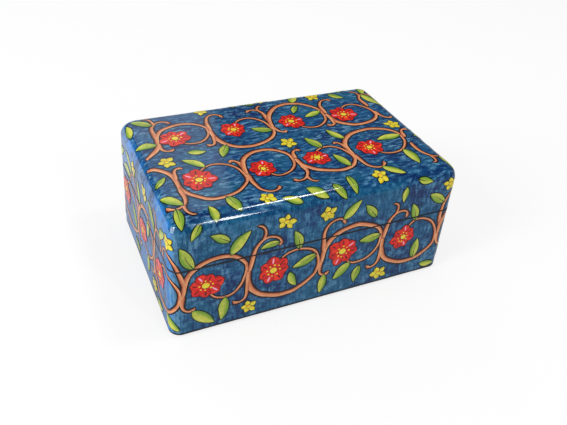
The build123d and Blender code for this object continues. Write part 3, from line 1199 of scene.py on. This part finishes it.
def brush_tree():
    """Turns lines into closed films that lie on the ground of paint."""
    graph, given = maker_tree(
        "brush_strokes", Ground="Object", Widen="Float", Lift="Float", Depth="Float",
        Across="Int", Tremble="Float", Seed="Float",
    )
    ground = graph.add("GeometryNodeObjectInfo", {"Object": given["Ground"]})["Geometry"]

    def stored(geometry, name, value, kind="FLOAT"):
        inputs = {"Geometry": geometry, "Name": name, "Value": value}
        return graph.add("GeometryNodeStoreNamedAttribute", inputs, data_type=kind)

    def named(name, kind="FLOAT"):
        return graph.add("GeometryNodeInputNamedAttribute", {"Name": name}, data_type=kind)["Attribute"]

    def moved(geometry, by, selection=None):
        inputs = {"Geometry": geometry, "Offset": by}
        if selection:
            inputs["Selection"] = selection
        return graph.add("GeometryNodeSetPosition", inputs)

    lines = graph.add("GeometryNodeMeshToCurve", {"Mesh": given["Geometry"]})
    heading = graph.add("GeometryNodeInputTangent")
    lines = stored(lines, "heading", heading, "FLOAT_VECTOR")
    heading = named("heading", "FLOAT_VECTOR")
    start = graph.add("GeometryNodeCurveEndpointSelection", {"Start Size": 1, "End Size": 0})
    end = graph.add("GeometryNodeCurveEndpointSelection", {"Start Size": 0, "End Size": 1})
    ends = graph.add("GeometryNodeCurveEndpointSelection", {"Start Size": 1, "End Size": 1})
    lines = moved(lines, graph.scaled(heading, given["Widen"] * -1.0), start)
    lines = moved(lines, graph.scaled(heading, given["Widen"]), end)
    lines = stored(lines, "inner", 1 - ends)
    lines = stored(lines, "centre", graph.add("GeometryNodeInputPosition"), "FLOAT_VECTOR")

    edge = graph.add("GeometryNodeCurvePrimitiveLine", {"Start": (-1, 0, 0), "End": (1, 0, 0)})
    edge = graph.add("GeometryNodeResampleCurve", {"Curve": edge, "Count": given["Across"]})
    edge = stored(edge, "across", graph.split(graph.add("GeometryNodeInputPosition"))["X"])
    film = graph.add("GeometryNodeCurveToMesh", {"Curve": lines, "Profile Curve": edge})

    def on_ground(point):
        """The nearest point of the ground of paint, and which way it faces there."""
        target = {0: ground, "Source Position": point}
        nearest = graph.add("GeometryNodeProximity", target, target_element="FACES")["Position"]
        facing = {
            "Mesh": ground,
            "Value": graph.add("GeometryNodeInputNormal"),
            "Sample Position": point,
        }
        return nearest, graph.add("GeometryNodeSampleNearestSurface", facing, data_type="FLOAT_VECTOR")

    centre = named("centre", "FLOAT_VECTOR")
    across = named("across")
    up = on_ground(centre)[1]
    beside = graph.vector("NORMALIZE", graph.vector("CROSS_PRODUCT", up, heading))
    rough = graph.vector("ADD", centre, graph.scaled(beside, across * named("half_width")))

    def shake(scale, seed):
        inputs = {"Vector": rough, "W": given["Seed"] + seed, "Scale": scale, "Detail": 2.0}
        return graph.add("ShaderNodeTexNoise", inputs, noise_dimensions="4D")

    unsteady = 1 + (shake(EDGE_TREMBLE, 0.0) - 0.5) * 2.0 * given["Tremble"]
    uneven = (0.35 + shake(EDGE_UNEVEN, 7.0) * 1.3) * named("inner") * given["Widen"]
    width = named("half_width") * unsteady + uneven
    point = graph.vector("ADD", centre, graph.scaled(beside, across * width))
    nearest, facing = on_ground(point)
    film = graph.add("GeometryNodeSetPosition", {"Geometry": film, "Position": nearest})
    film = stored(film, "facing", facing, "FLOAT_VECTOR")
    facing = named("facing", "FLOAT_VECTOR")
    film = moved(film, graph.scaled(facing, given["Depth"] * -1.0))
    lift = given["Lift"] + given["Depth"] + named("tint") * LIFT_SPREAD
    raised = {"Mesh": film, "Offset": graph.scaled(facing, lift), "Offset Scale": 1.0, "Individual": False}
    raised = graph.add("GeometryNodeExtrudeMesh", raised)["Mesh"]
    under = graph.add("GeometryNodeFlipFaces", {"Mesh": film})
    both = graph.add("GeometryNodeJoinGeometry", {"Geometry": raised})
    graph.tree.links.new(under.socket, both.node.inputs["Geometry"])
    closed = graph.add("GeometryNodeMergeByDistance", {"Geometry": both, "Distance": 2 * WELD})
    for name in ("heading", "inner", "centre", "facing"):
        closed = graph.add("GeometryNodeRemoveAttribute", {"Geometry": closed, "Name": name})
    return finished_tree(graph, given, closed)


def given_to(thing, tree, **values):
    """Puts a Geometry Nodes tree on an object and gives it its inputs, before it is first evaluated."""
    maker = thing.modifiers.new(tree.name, "NODES")
    maker.node_group = tree
    names = {
        item.name: item.identifier
        for item in tree.interface.items_tree
        if item.item_type == "SOCKET" and item.in_out == "INPUT"
    }
    for name, value in values.items():
        maker[names[name]] = value


def carrier(kind):
    """The middle lines of all strokes of a kind, as a mesh of edges."""
    points, edges, widths, ways, tints = [], [], [], [], []
    for line, line_widths, tint in strokes[kind]:
        first = len(points)
        way = 0.0
        for i, point in enumerate(line):
            way += (point - line[i - 1]).length if i else 0.0
            ways.append(way)
            if i:
                edges.append((first + i - 1, first + i))
        points.extend(line)
        widths.extend(line_widths)
        tints.extend([tint] * len(line))
    mesh = bpy.data.meshes.new(kind)
    mesh.from_pydata(points, edges, [])
    for name, values in (("half_width", widths), ("along", ways), ("tint", tints)):
        mesh.attributes.new(name, "FLOAT", "POINT").data.foreach_set("value", values)
    return new_object(kind, mesh)


def film_mesh(tree, ground, kind, widen, lift, across, tremble, paint):
    """The films of one kind of stroke in one coat."""
    lines = carrier(kind)
    given_to(
        lines, tree, Ground=ground, Widen=widen * MM, Lift=lift * MM, Depth=FILM_DEPTH,
        Across=across, Tremble=tremble, Seed=float(DESIGN_SEED), Paint=paint,
    )
    return evaluated_mesh(lines)


def sliced(form, faces, place, facing, **clear):
    """Cuts some faces along a plane."""
    edges = dict.fromkeys(edge for face in faces for edge in face.edges)
    corners = dict.fromkeys(corner for face in faces for corner in face.verts)
    everything = [*faces, *edges, *corners]
    bmesh.ops.bisect_plane(
        form, geom=everything, dist=WELD / 2, plane_co=place, plane_no=facing, **clear
    )


def within(form, low, high, margin):
    """The faces whose middle lies in a box."""
    low, high = low - Vector((margin,) * 3), high + Vector((margin,) * 3)
    faces = []
    for face in form.faces:
        middle = face.calc_center_median()
        if all(low[axis] < middle[axis] < high[axis] for axis in range(3)):
            faces.append(face)
    return faces


def clear_of_hinges(form):
    """Cuts the paint away where the barrels of the hinges are let into the back."""
    for side in HINGES:
        low, high = (corner.copy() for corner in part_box(f"hinge_{side}_pin"))
        low = Vector((low.x - BARREL_ROOM, HALF_Y - WALL, PARTING - TOE_REACH - 1.5 * BARREL_ROOM))
        high = Vector((high.x + BARREL_ROOM, HALF_Y + WALL, PARTING + BARREL_RADIUS + 1.5 * BARREL_ROOM))
        for axis, facing in ((0, (1, 0, 0)), (2, (0, 0, 1))):
            for corner in (low, high):
                sliced(form, within(form, low, high, 4 * MM), corner, facing)
        bmesh.ops.delete(form, geom=within(form, low, high, 0), context="FACES")


def halved(form, half):
    """Cuts away what belongs to the other half of the box, and closes the cuts."""
    up = 1 if half == "lid" else -1
    level = Vector((0, 0, PARTING + up * BARE_RIM))
    sliced(form, form.faces[:], level, (0, 0, up), clear_inner=True)
    clear_of_hinges(form)
    open_edges = [edge for edge in form.edges if edge.is_boundary]
    bmesh.ops.holes_fill(form, edges=open_edges, sides=0)


def painted_piece(name, half, coats):
    """One piece of the painting: the films of several coats, cut to one half of the box."""
    form = bmesh.new()
    materials = []
    for mesh, paint in coats:
        first = len(form.faces)
        form.from_mesh(mesh)
        form.faces.ensure_lookup_table()
        if paint not in materials:
            materials.append(paint)
        for face in form.faces[first:]:
            face.material_index = materials.index(paint)
    halved(form, half)
    bmesh.ops.recalc_face_normals(form, faces=form.faces)
    mesh = smooth(mesh_of(form, name), FILM_SHARP)
    for paint in materials:
        mesh.materials.append(paint)
    piece(name, mesh, half, "painted_wood")


ground_paint = surfacer("blue_ground", brushed_ground)
inside_paint = surfacer("inside_coat", plain_inside)
velvet = surfacer(
    "velvet_cloth", velvet_pile, Sheen_Weight=0.5, Sheen_Roughness=0.35, Sheen_Tint=VELVET_SHEEN
)
felt = surfacer("felt_cloth", wool_felt, Sheen_Weight=0.2, Sheen_Roughness=0.5)
brass = surfacer("brass_metal", worn_brass, Metallic=1.0)
stem_paint = surfacer("stem_paint", stroke_paint(
    SALMON, RUST, PALE_SALMON, shade_from=0.05, shade_to=1.05, grain=0.6, vary=0.08
))
leaf_paint = surfacer("leaf_paint", stroke_paint(
    LIME, LEAF_GREEN, PALE_LIME, shade_from=-0.2, shade_to=0.9, grain=0.7, root=4 * MM, vary=0.3
))
red_paint = surfacer("red_paint", stroke_paint(
    RED, CRIMSON, ORANGE_RED, shade_from=0.2, shade_to=1.2, grain=0.8, root=2.5 * MM, vary=0.15
))
yellow_paint = surfacer("yellow_paint", stroke_paint(
    YELLOW, GOLD, PALE_LIME, shade_from=0.1, shade_to=1.1, grain=0.8, root=2 * MM, vary=0.1
))
heart_paint = surfacer("heart_paint", stroke_paint(
    YELLOW, ORANGE_RED, PALE_LIME, shade_from=0.3, shade_to=1.3
))
pink_paint = surfacer("pink_paint", line_paint(PINK, PALE_SALMON))
brown_line = surfacer("brown_line", line_paint(BROWN_LINE, RUST))
green_line = surfacer("green_line", line_paint(GREEN_LINE, LEAF_GREEN))
red_line = surfacer("red_line", line_paint(RED_LINE, CRIMSON))

# The coats of each piece of the painting, lowest first: what kind of stroke, how much wider than
# it the coat is, how high it lies, points across, how unsteady its edge is, and its paint
PAINTING = {
    "stems": (
        ("stem", 0.8, 0.035, 7, 0.12, brown_line),
        ("stem", 0.0, 0.07, 7, 0.1, stem_paint),
    ),
    "leaves": (
        ("leaf", 0.6, 0.105, 7, 0.1, green_line),
        ("leaf", 0.0, 0.14, 7, 0.07, leaf_paint),
        ("vein", 0.0, 0.17, 3, 0.3, green_line),
    ),
    "rosettes": (
        ("petal", 0.5, 0.14, 7, 0.05, red_line),
        ("petal", 0.0, 0.175, 7, 0.08, red_paint),
        ("crease", 0.0, 0.2, 3, 0.3, red_line),
        ("highlight", 0.1, 0.2, 3, 0.3, pink_paint),
        ("heart", 0.35, 0.21, 7, 0.05, red_line),
        ("heart", 0.0, 0.24, 7, 0.08, heart_paint),
        ("dot", 0.0, 0.24, 5, 0.1, heart_paint),
    ),
    "blossoms": (
        ("blossom", 0.45, 0.14, 7, 0.05, green_line),
        ("blossom", 0.0, 0.175, 7, 0.08, yellow_paint),
        ("blossom_heart", 0.25, 0.2, 7, 0.05, green_line),
        ("blossom_heart", 0.0, 0.23, 7, 0.08, heart_paint),
    ),
}

place_camera()
casing("base", "base_floor_board", base_outside + inside_levels(FLOOR))
casing("lid", "lid_top_board", lid_outside + inside_levels(CEILING))

design()
whole_ground = new_object("whole_ground", lofted("whole_ground", lid_outside + base_outside[::-1]))
tree = brush_tree()
for part, coats in PAINTING.items():
    meshes = [(film_mesh(tree, whole_ground, *coat), coat[-1]) for coat in coats]
    for half in ("base", "lid"):
        painted_piece(f"{half}_{part}", half, meshes)
discard(whole_ground)


# The soft inside

PAD_STEPS = (6, 64, 40)
EDGE_STEPS = 5
SWELL_SCALE = 10.0
SWELL_SQUARES = 12 * MM
SWELL_FRAMES = 20
PRESSURE = 4.0


def soft_form(name, half_x, half_y, thickness, edge, step):
    """A flat padded form with rounded edges, its board side on z = 0."""

    def level(inset, z):
        corner = 2 * edge * (1 - inset / half_y)
        return [
            Vector((point.x, point.y, z))
            for point, outward in plan(half_x - inset, half_y - inset, corner, PAD_STEPS)
        ]

    turns = [i / EDGE_STEPS * math.pi / 2 for i in range(EDGE_STEPS + 1)]
    flat = evenly(half_y, edge, step)
    board_side = [level(inset, 0) for inset in flat]
    board_side += [level(edge * (1 - math.sin(t)), edge * (1 - math.cos(t)) * 0.5) for t in turns]
    front = [level(inset, thickness) for inset in flat]
    front += [level(edge * (1 - math.sin(t)), thickness - edge * (1 - math.cos(t))) for t in turns]
    return lofted(name, board_side + front[::-1])


def reshaped(mesh, change):
    """Moves every point of a mesh."""
    for vertex in mesh.vertices:
        vertex.co = change(vertex.co)
    return mesh


def points_of(mesh):
    flat = np.empty(len(mesh.vertices) * 3)
    mesh.vertices.foreach_get("co", flat)
    return flat.reshape(-1, 3)


def swollen(mesh, cap):
    """The form with its cover blown up from inside as a stuffed cloth one is. Its board side stays put,
    and no point moves further than cap."""
    mesh.transform(Matrix.Scale(SWELL_SCALE, 4))
    mesh = made_by(mesh, "REMESH", mode="VOXEL", voxel_size=SWELL_SQUARES)
    before = points_of(mesh)
    cover = new_object("cover", mesh)
    held = cover.vertex_groups.new(name="held")
    held.add([i for i, point in enumerate(before) if point[2] < SWELL_SQUARES / 2], 1.0, "REPLACE")
    cloth = cover.modifiers.new("cloth", "CLOTH").settings
    cloth.use_pressure = True
    cloth.uniform_pressure_force = PRESSURE
    cloth.vertex_group_mass = "held"
    cloth.effector_weights.gravity = 0
    for step in range(1, SWELL_FRAMES + 1):
        bpy.context.scene.frame_set(step)
    swelled = evaluated_mesh(cover)
    bpy.context.scene.frame_set(1)
    move = points_of(swelled) - before
    length = np.linalg.norm(move, axis=1, keepdims=True)
    move *= np.minimum(1.0, cap * SWELL_SCALE / np.maximum(length, 1e-9))
    swelled.vertices.foreach_set("co", (before + move).ravel())
    swelled.transform(Matrix.Scale(1 / SWELL_SCALE, 4))
    return made_by(swelled, "SUBSURF", levels=1, render_levels=1)


CUSHION_CAP = 0.35 * MM
CUSHION_CROWN = 0.55 * MM
CUSHION_EDGE = 1.1 * MM
CUSHION_SQUARES = 2 * MM
CREASE_DEPTH = 0.16 * MM
CREASE_LENGTH = 7 * MM
CREASE_REACH = 9 * MM


def cushion(name, half, board_z, up):
    """A thin stuffed pad on its board, in the room of the CAD node of that name."""
    low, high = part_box(name)
    size = high - low
    middle = (low + high) / 2
    room = CUSHION_CAP + 0.1 * MM
    reach = (size.x / 2 - room, size.y / 2 - room)
    flat = size.z - room - CUSHION_CROWN
    mesh = swollen(soft_form(name, *reach, flat, CUSHION_EDGE, CUSHION_SQUARES), CUSHION_CAP)

    def settled(point):
        share = max(0.0, min(1.0, point.z / flat))
        across = math.cos(point.x / reach[0] * math.pi / 2) * math.cos(point.y / reach[1] * math.pi / 2)
        edge = min(reach[0] - abs(point.x), reach[1] - abs(point.y))
        pulled = math.exp(-max(0.0, edge) / CREASE_REACH)
        crease = noise.noise(Vector((point.x, point.y, 0)) / CREASE_LENGTH) * CREASE_DEPTH * (0.25 + pulled)
        rise = share * (CUSHION_CROWN * max(0.0, across) ** 0.35 + crease - CREASE_DEPTH)
        z = max(0.0, point.z + rise)
        return Vector((middle.x + point.x, middle.y + up * point.y, board_z + up * z))

    finished_soft(name, half, reshaped(mesh, settled), "velvet", velvet)


def finished_soft(node, half, mesh, slot, material):
    """Puts a soft form in the place of its CAD node."""
    mesh.materials.clear()
    mesh.materials.append(material)
    return piece(node + "_cover", smooth(mesh), half, slot, node)


LINER_PUFF = 0.3 * MM
LINER_EDGE = 0.62 * MM
LINER_SQUARES = 1.6 * MM
LINER_SLACK = 0.05 * MM
LINER_ROUND = 5 * MM
PULL_LENGTH = 8 * MM


def liner(side):
    """A card covered in velvet that stands against one wall, with its padding on the inner face."""
    node = f"base_{side}_liner"
    low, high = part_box(node)
    size = high - low
    along = 0 if size.x > size.y else 1
    thickness = size[1 - along]
    middle = (low + high) / 2
    inward = -math.copysign(1, middle[1 - along])
    reach = (size[along] / 2 - LINER_SLACK, size.z / 2 - LINER_SLACK)
    flat = thickness - LINER_PUFF - 2 * LINER_SLACK
    mesh = soft_form(node, *reach, flat, LINER_EDGE, LINER_SQUARES)

    def stood_up(point):
        share = max(0.0, point.z / flat)
        edge = min(reach[0] - abs(point.x), reach[1] - abs(point.y))
        puff = LINER_PUFF * min(1.0, edge / LINER_ROUND) ** 0.5
        pull = noise.noise(Vector((point.x, point.y * 0.6, middle.x * 9)) / PULL_LENGTH) * 0.5 - 0.5
        depth = point.z + share * puff * (1 + 0.5 * pull)
        place = Vector((0, 0, middle.z + point.y))
        place[along] = middle[along] + point.x
        place[1 - along] = middle[1 - along] + inward * (LINER_SLACK + depth - thickness / 2)
        return place

    form = bmesh.new()
    form.from_mesh(reshaped(mesh, stood_up))
    bmesh.ops.recalc_face_normals(form, faces=form.faces)
    form.to_mesh(mesh)
    form.free()
    finished_soft(node, "base", mesh, "velvet", velvet)


FELT_SLACK = 0.15 * MM
FELT_EDGE = 0.3 * MM
FELT_SQUARES = 3 * MM
FELT_ROUGH = 1.9 * MM
FELT_WEAR = 0.05 * MM


def felt_sheet():
    """The felt under the box, with a cut edge that isn't quite straight."""
    low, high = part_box("underside_felt")
    size = high - low
    thickness = size.z - 0.04 * MM
    reach = (size.x / 2 - FELT_SLACK, size.y / 2 - FELT_SLACK)
    mesh = soft_form("felt", *reach, thickness, FELT_EDGE, FELT_SQUARES)

    def matted(point):
        rough = noise.noise_vector(point / FELT_ROUGH)
        edge = min(size.x / 2 - abs(point.x), size.y / 2 - abs(point.y))
        ragged = FELT_SLACK * 0.9 * max(0.0, 1 - edge / (1 * MM))
        worn = FELT_WEAR * (0.5 + 0.5 * rough.z) * (1 - point.z / thickness)
        return point + Vector((rough.x * ragged, rough.y * ragged, worn))

    cover = finished_soft("underside_felt", "base", reshaped(mesh, matted), "felt", felt)


# The fittings

SCREW_STEPS = 32
SCREW_PITCH = 0.62 * MM
SCREW_HEAD = 1.4 * MM
SCREW_SHANK = 0.8 * MM
SCREW_RECESS = 0.06 * MM
SCREW_LENGTH = 8 * MM
SCREW_POINT = 1.6 * MM
PLAIN_SHANK = 1.2 * MM
THREAD_START = 1.3 * MM
THREAD_DEPTH = 0.2 * MM
SLOT_WIDTH = 0.42 * MM
SLOT_DEPTH = 0.4 * MM


def screw_form():
    """A slotted countersunk wood screw with its thread. Its head lies on z = 0 and it points down."""

    def level(z, radius, thread=0.0):
        points = []
        for step in range(SCREW_STEPS):
            turn = 2 * math.pi * step / SCREW_STEPS
            lead = (z / SCREW_PITCH + step / SCREW_STEPS) % 1
            here = radius - thread * min(1.0, abs(lead - 0.5) * 3)
            points.append(Vector((here * math.cos(turn), here * math.sin(turn), z)))
        return points

    neck = SCREW_HEAD - SCREW_SHANK + SCREW_RECESS
    levels = [level(-SCREW_RECESS, share * SCREW_HEAD) for share in (0, 0.5, 0.96)]
    levels += [level(-SCREW_RECESS - 0.03 * MM, SCREW_HEAD), level(-neck, SCREW_SHANK)]
    levels.append(level(-neck - PLAIN_SHANK, SCREW_SHANK))
    for z in evenly(neck + THREAD_START, SCREW_LENGTH, SCREW_PITCH / 6):
        taper = min(1.0, (SCREW_LENGTH - z) / SCREW_POINT)
        levels.append(level(-z, SCREW_SHANK * taper, THREAD_DEPTH * taper))
    cutter = bmesh.new()
    half_slot = Vector((2 * SCREW_HEAD, SLOT_WIDTH / 2, SLOT_DEPTH))
    block(cutter, Vector((*-half_slot.xy, -SCREW_RECESS - SLOT_DEPTH)), half_slot)
    slot = new_object("slot", mesh_of(cutter, "slot"))
    mesh = made_by(
        lofted("screw", levels), "BOOLEAN", operation="DIFFERENCE", solver="EXACT", object=slot
    )
    discard(slot)
    return smooth(mesh, SCREW_SHARP)


def screw_tree():
    """Sets a screw at each point, turned as it came to rest when it was driven in."""
    graph, given = maker_tree("driven_screws", Screw="Object", Size="Float", Way="Float")
    turned = graph.add("GeometryNodeInputNamedAttribute", {"Name": "turn"}, data_type="FLOAT")
    turned = graph.add("ShaderNodeCombineXYZ", {0: given["Way"], 2: turned["Attribute"]})
    form = graph.add("GeometryNodeObjectInfo", {"Object": given["Screw"]})["Geometry"]
    placed = graph.add("GeometryNodeInstanceOnPoints", {
        "Points": given["Geometry"],
        "Instance": form,
        "Rotation": turned,
        "Scale": given["Size"],
    })
    return finished_tree(graph, given, placed)


SCREW_TURNS = (0.4, 1.9, 2.6, 1.1)
SCREW_PLACES = [
    (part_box(f"hinge_{side}_base_screws"), way) for side in HINGES for way in (-1, 1)
]


def screws(half, tree, form):
    """The four screws of one half of the box."""
    points = []
    for (low, high), way in SCREW_PLACES:
        middle = (low + high) / 2
        points.append(Vector((middle.x + way * (high.x - middle.x - SCREW_HEAD), middle.y, PARTING)))
    mesh = bpy.data.meshes.new("screw_places")
    mesh.from_pydata(points, [], [])
    turns = SCREW_TURNS if half == "base" else SCREW_TURNS[::-1]
    mesh.attributes.new("turn", "FLOAT", "POINT").data.foreach_set("value", turns)
    places = new_object("screw_places", mesh)
    way = math.pi if half == "lid" else 0.0
    given_to(places, tree, Screw=form, Size=1.0, Way=way, Paint=brass)
    nodes = [f"hinge_{side}_{half}_screws" for side in HINGES]
    piece(f"{half}_screws", evaluated_mesh(places), half, "brass", *nodes)


cushion("base_floor_pad", "base", FLOOR, 1)
cushion("lid_pad", "lid", CEILING, -1)
for side in SIDES:
    liner(side)
felt_sheet()
screw = new_object("screw", screw_form())
turning = screw_tree()
for half in ("base", "lid"):
    screws(half, turning, screw)
discard(screw)
for name, node in frame["nodes"].items():
    if name.startswith("hinge"):
        node.data.materials.clear()
        node.data.materials.append(brass)


# The floor and the light

WHITE = (1, 1, 1, 1)
PAPER = colour(238, 238, 238)
PAPER_REACH = 6.0

# How much of the white card hides the shaded paper, to the camera and in reflections
CARD_SEEN, CARD_MIRRORED = 0.75, 0.85
# How bright reflections of the floor are, and how much brighter towards the window
FLOOR_SHINE, WINDOW_SHINE = 0.34, 1.1
WINDOW_SIDE = (-0.8, 0.6)
WINDOW_REACH = 0.4
# The light of the sky on the box, how much less of it shines in the lacquer, and what the camera adds
SKY_LIGHT, SKY_UNMIRRORED, SKY_SEEN = 0.6, 0.48, 0.4

# Where each lamp stands, how wide and high it is, and its power. All face the middle of the box.
LAMPS = {
    "strip_front": ((0.3, -0.94, 0.787), (0.075, 0.3), 1.9),
    "strip_above": ((0.43, -0.147, 1.17), (0.14, 0.18), 2.6),
    "spot_left": ((-0.9, -0.21, 0.8), (0.16, 0.16), 2.2),
    "soft_left": ((-1.4, -0.2, 0.6), (0.8, 0.8), 14.0),
    "soft_behind": ((-0.13, 1.4, 0.85), (1.2, 0.9), 2.6),
}


def backdrop():
    """A white floor that looks white to the camera and keeps some of the shadow. What shines in the
    lacquer is brighter towards the back left, where the window of the room is."""
    form = bmesh.new()
    bmesh.ops.create_grid(form, x_segments=8, y_segments=8, size=PAPER_REACH)
    floor = new_object("floor", mesh_of(form, "floor"))
    material = bpy.data.materials.new("floor_paper")
    graph = emptied(material)
    path = graph.add("ShaderNodeLightPath")
    where = graph.split(position(graph))
    to_window = where["Y"] * WINDOW_SIDE[1] - where["X"] * -WINDOW_SIDE[0]
    shine = FLOOR_SHINE + graph.between(to_window, 0.0, WINDOW_REACH) * WINDOW_SHINE
    paper = graph.add("ShaderNodeBsdfDiffuse", {"Color": PAPER})
    card = graph.add("ShaderNodeEmission", {
        "Color": WHITE,
        "Strength": path["Is Camera Ray"] + path["Is Glossy Ray"] * shine,
    })
    seen = path["Is Camera Ray"] * CARD_SEEN + path["Is Glossy Ray"] * CARD_MIRRORED
    shown = graph.add("ShaderNodeMixShader", {0: seen, 1: paper, 2: card})
    graph.add("ShaderNodeOutputMaterial", {"Surface": shown})
    floor.data.materials.append(material)


def lamp(name, place, size, power):
    data = bpy.data.lights.new(name, "AREA")
    data.shape = "RECTANGLE"
    data.size, data.size_y = size
    data.energy = power
    light = new_object(name, data)
    light.location = place
    light.rotation_mode = "QUATERNION"
    light.rotation_quaternion = (Vector((0, 0, PARTING)) - Vector(place)).to_track_quat("-Z", "Y")


def sky():
    world = bpy.data.worlds.new("studio")
    bpy.context.scene.world = world
    graph = emptied(world)
    path = graph.add("ShaderNodeLightPath")
    strength = SKY_LIGHT - path["Is Glossy Ray"] * SKY_UNMIRRORED + path["Is Camera Ray"] * SKY_SEEN
    background = graph.add("ShaderNodeBackground", {"Color": WHITE, "Strength": strength})
    graph.add("ShaderNodeOutputWorld", {"Surface": background})


backdrop()
sky()
for name, (place, size, power) in LAMPS.items():
    lamp(name, place, size, power)
bpy.context.scene.view_settings.view_transform = "Standard"
